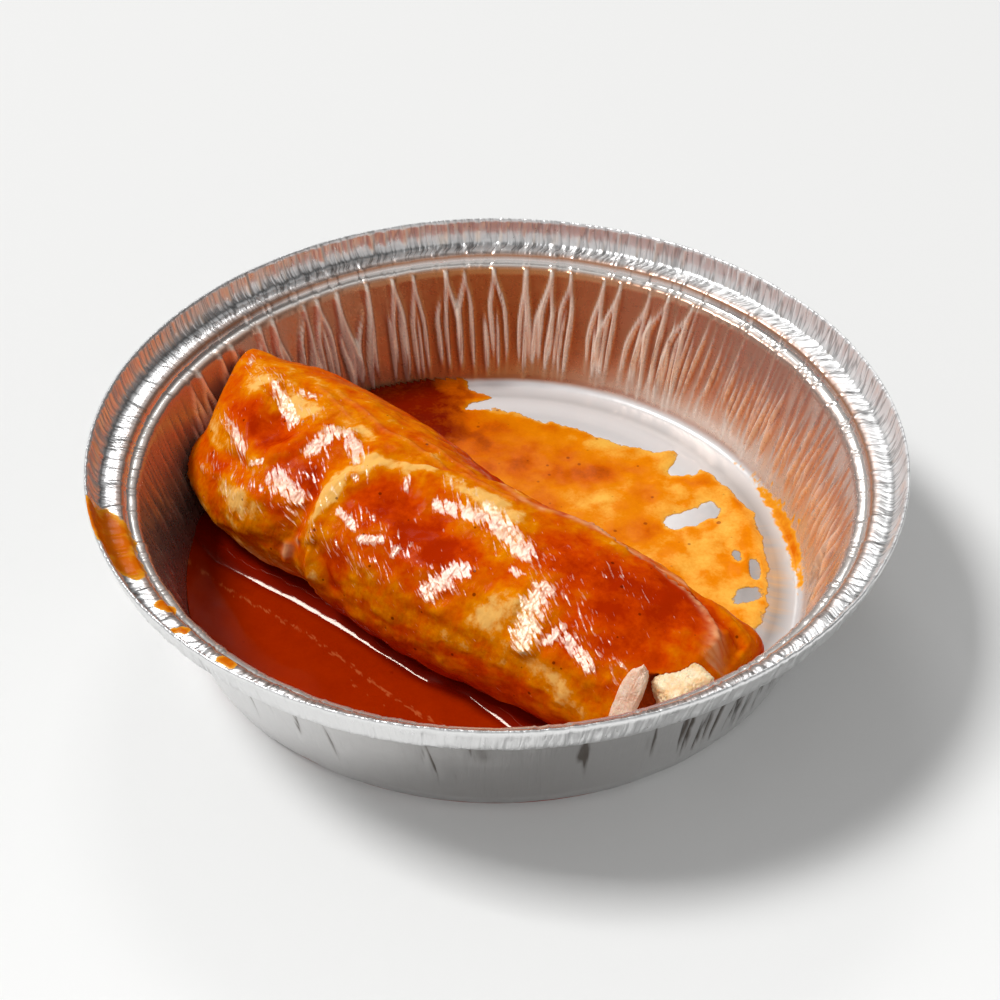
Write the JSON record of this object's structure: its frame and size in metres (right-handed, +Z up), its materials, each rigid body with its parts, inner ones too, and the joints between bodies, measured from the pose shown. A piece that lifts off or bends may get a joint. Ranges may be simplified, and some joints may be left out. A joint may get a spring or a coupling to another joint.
{
  "type": "sauced rolled wrap in foil pan",
  "caption": "Rolled, filled flour tortilla under red chile sauce in a round disposable foil pan, with a pool of sauce beside it and a thin smear of sauce on the floor behind it.",
  "frame": {"origin": "on the surface that the pan stands on, under the middle of the pan", "axes": "+Z up, -Y towards the front of the picture's view, +X to its right; the roll runs from back left to front right"},
  "size_m": [0.1838, 0.1836, 0.0435],
  "materials": {
    "foil": "thin bright aluminium foil, wrinkled wall and finely crimped rim",
    "sauced_tortilla": "soft flour tortilla soaked and coated with glossy red chile sauce, thin golden patches on the folds",
    "filling": "moist, sauced filling, in shadow inside the torn mouth",
    "pale_strip": "pinkish cream strip of filling, slightly fibrous",
    "pale_chunk": "cream-yellow chunk of filling, moist",
    "pool_sauce": "deep red chile sauce with a wet gloss and fine streaks of fat",
    "smear_sauce": "thin orange film of sauce, darker and redder where it is thick, with specks"
  },
  "bodies": {
    "root": {"foil_pan": "foil", "tortilla": "sauced_tortilla", "filling": "filling", "pale_strip": "pale_strip", "pale_chunk": "pale_chunk", "sauce_pool": "pool_sauce", "sauce_smear": "smear_sauce"}
  },
  "joints": []
}
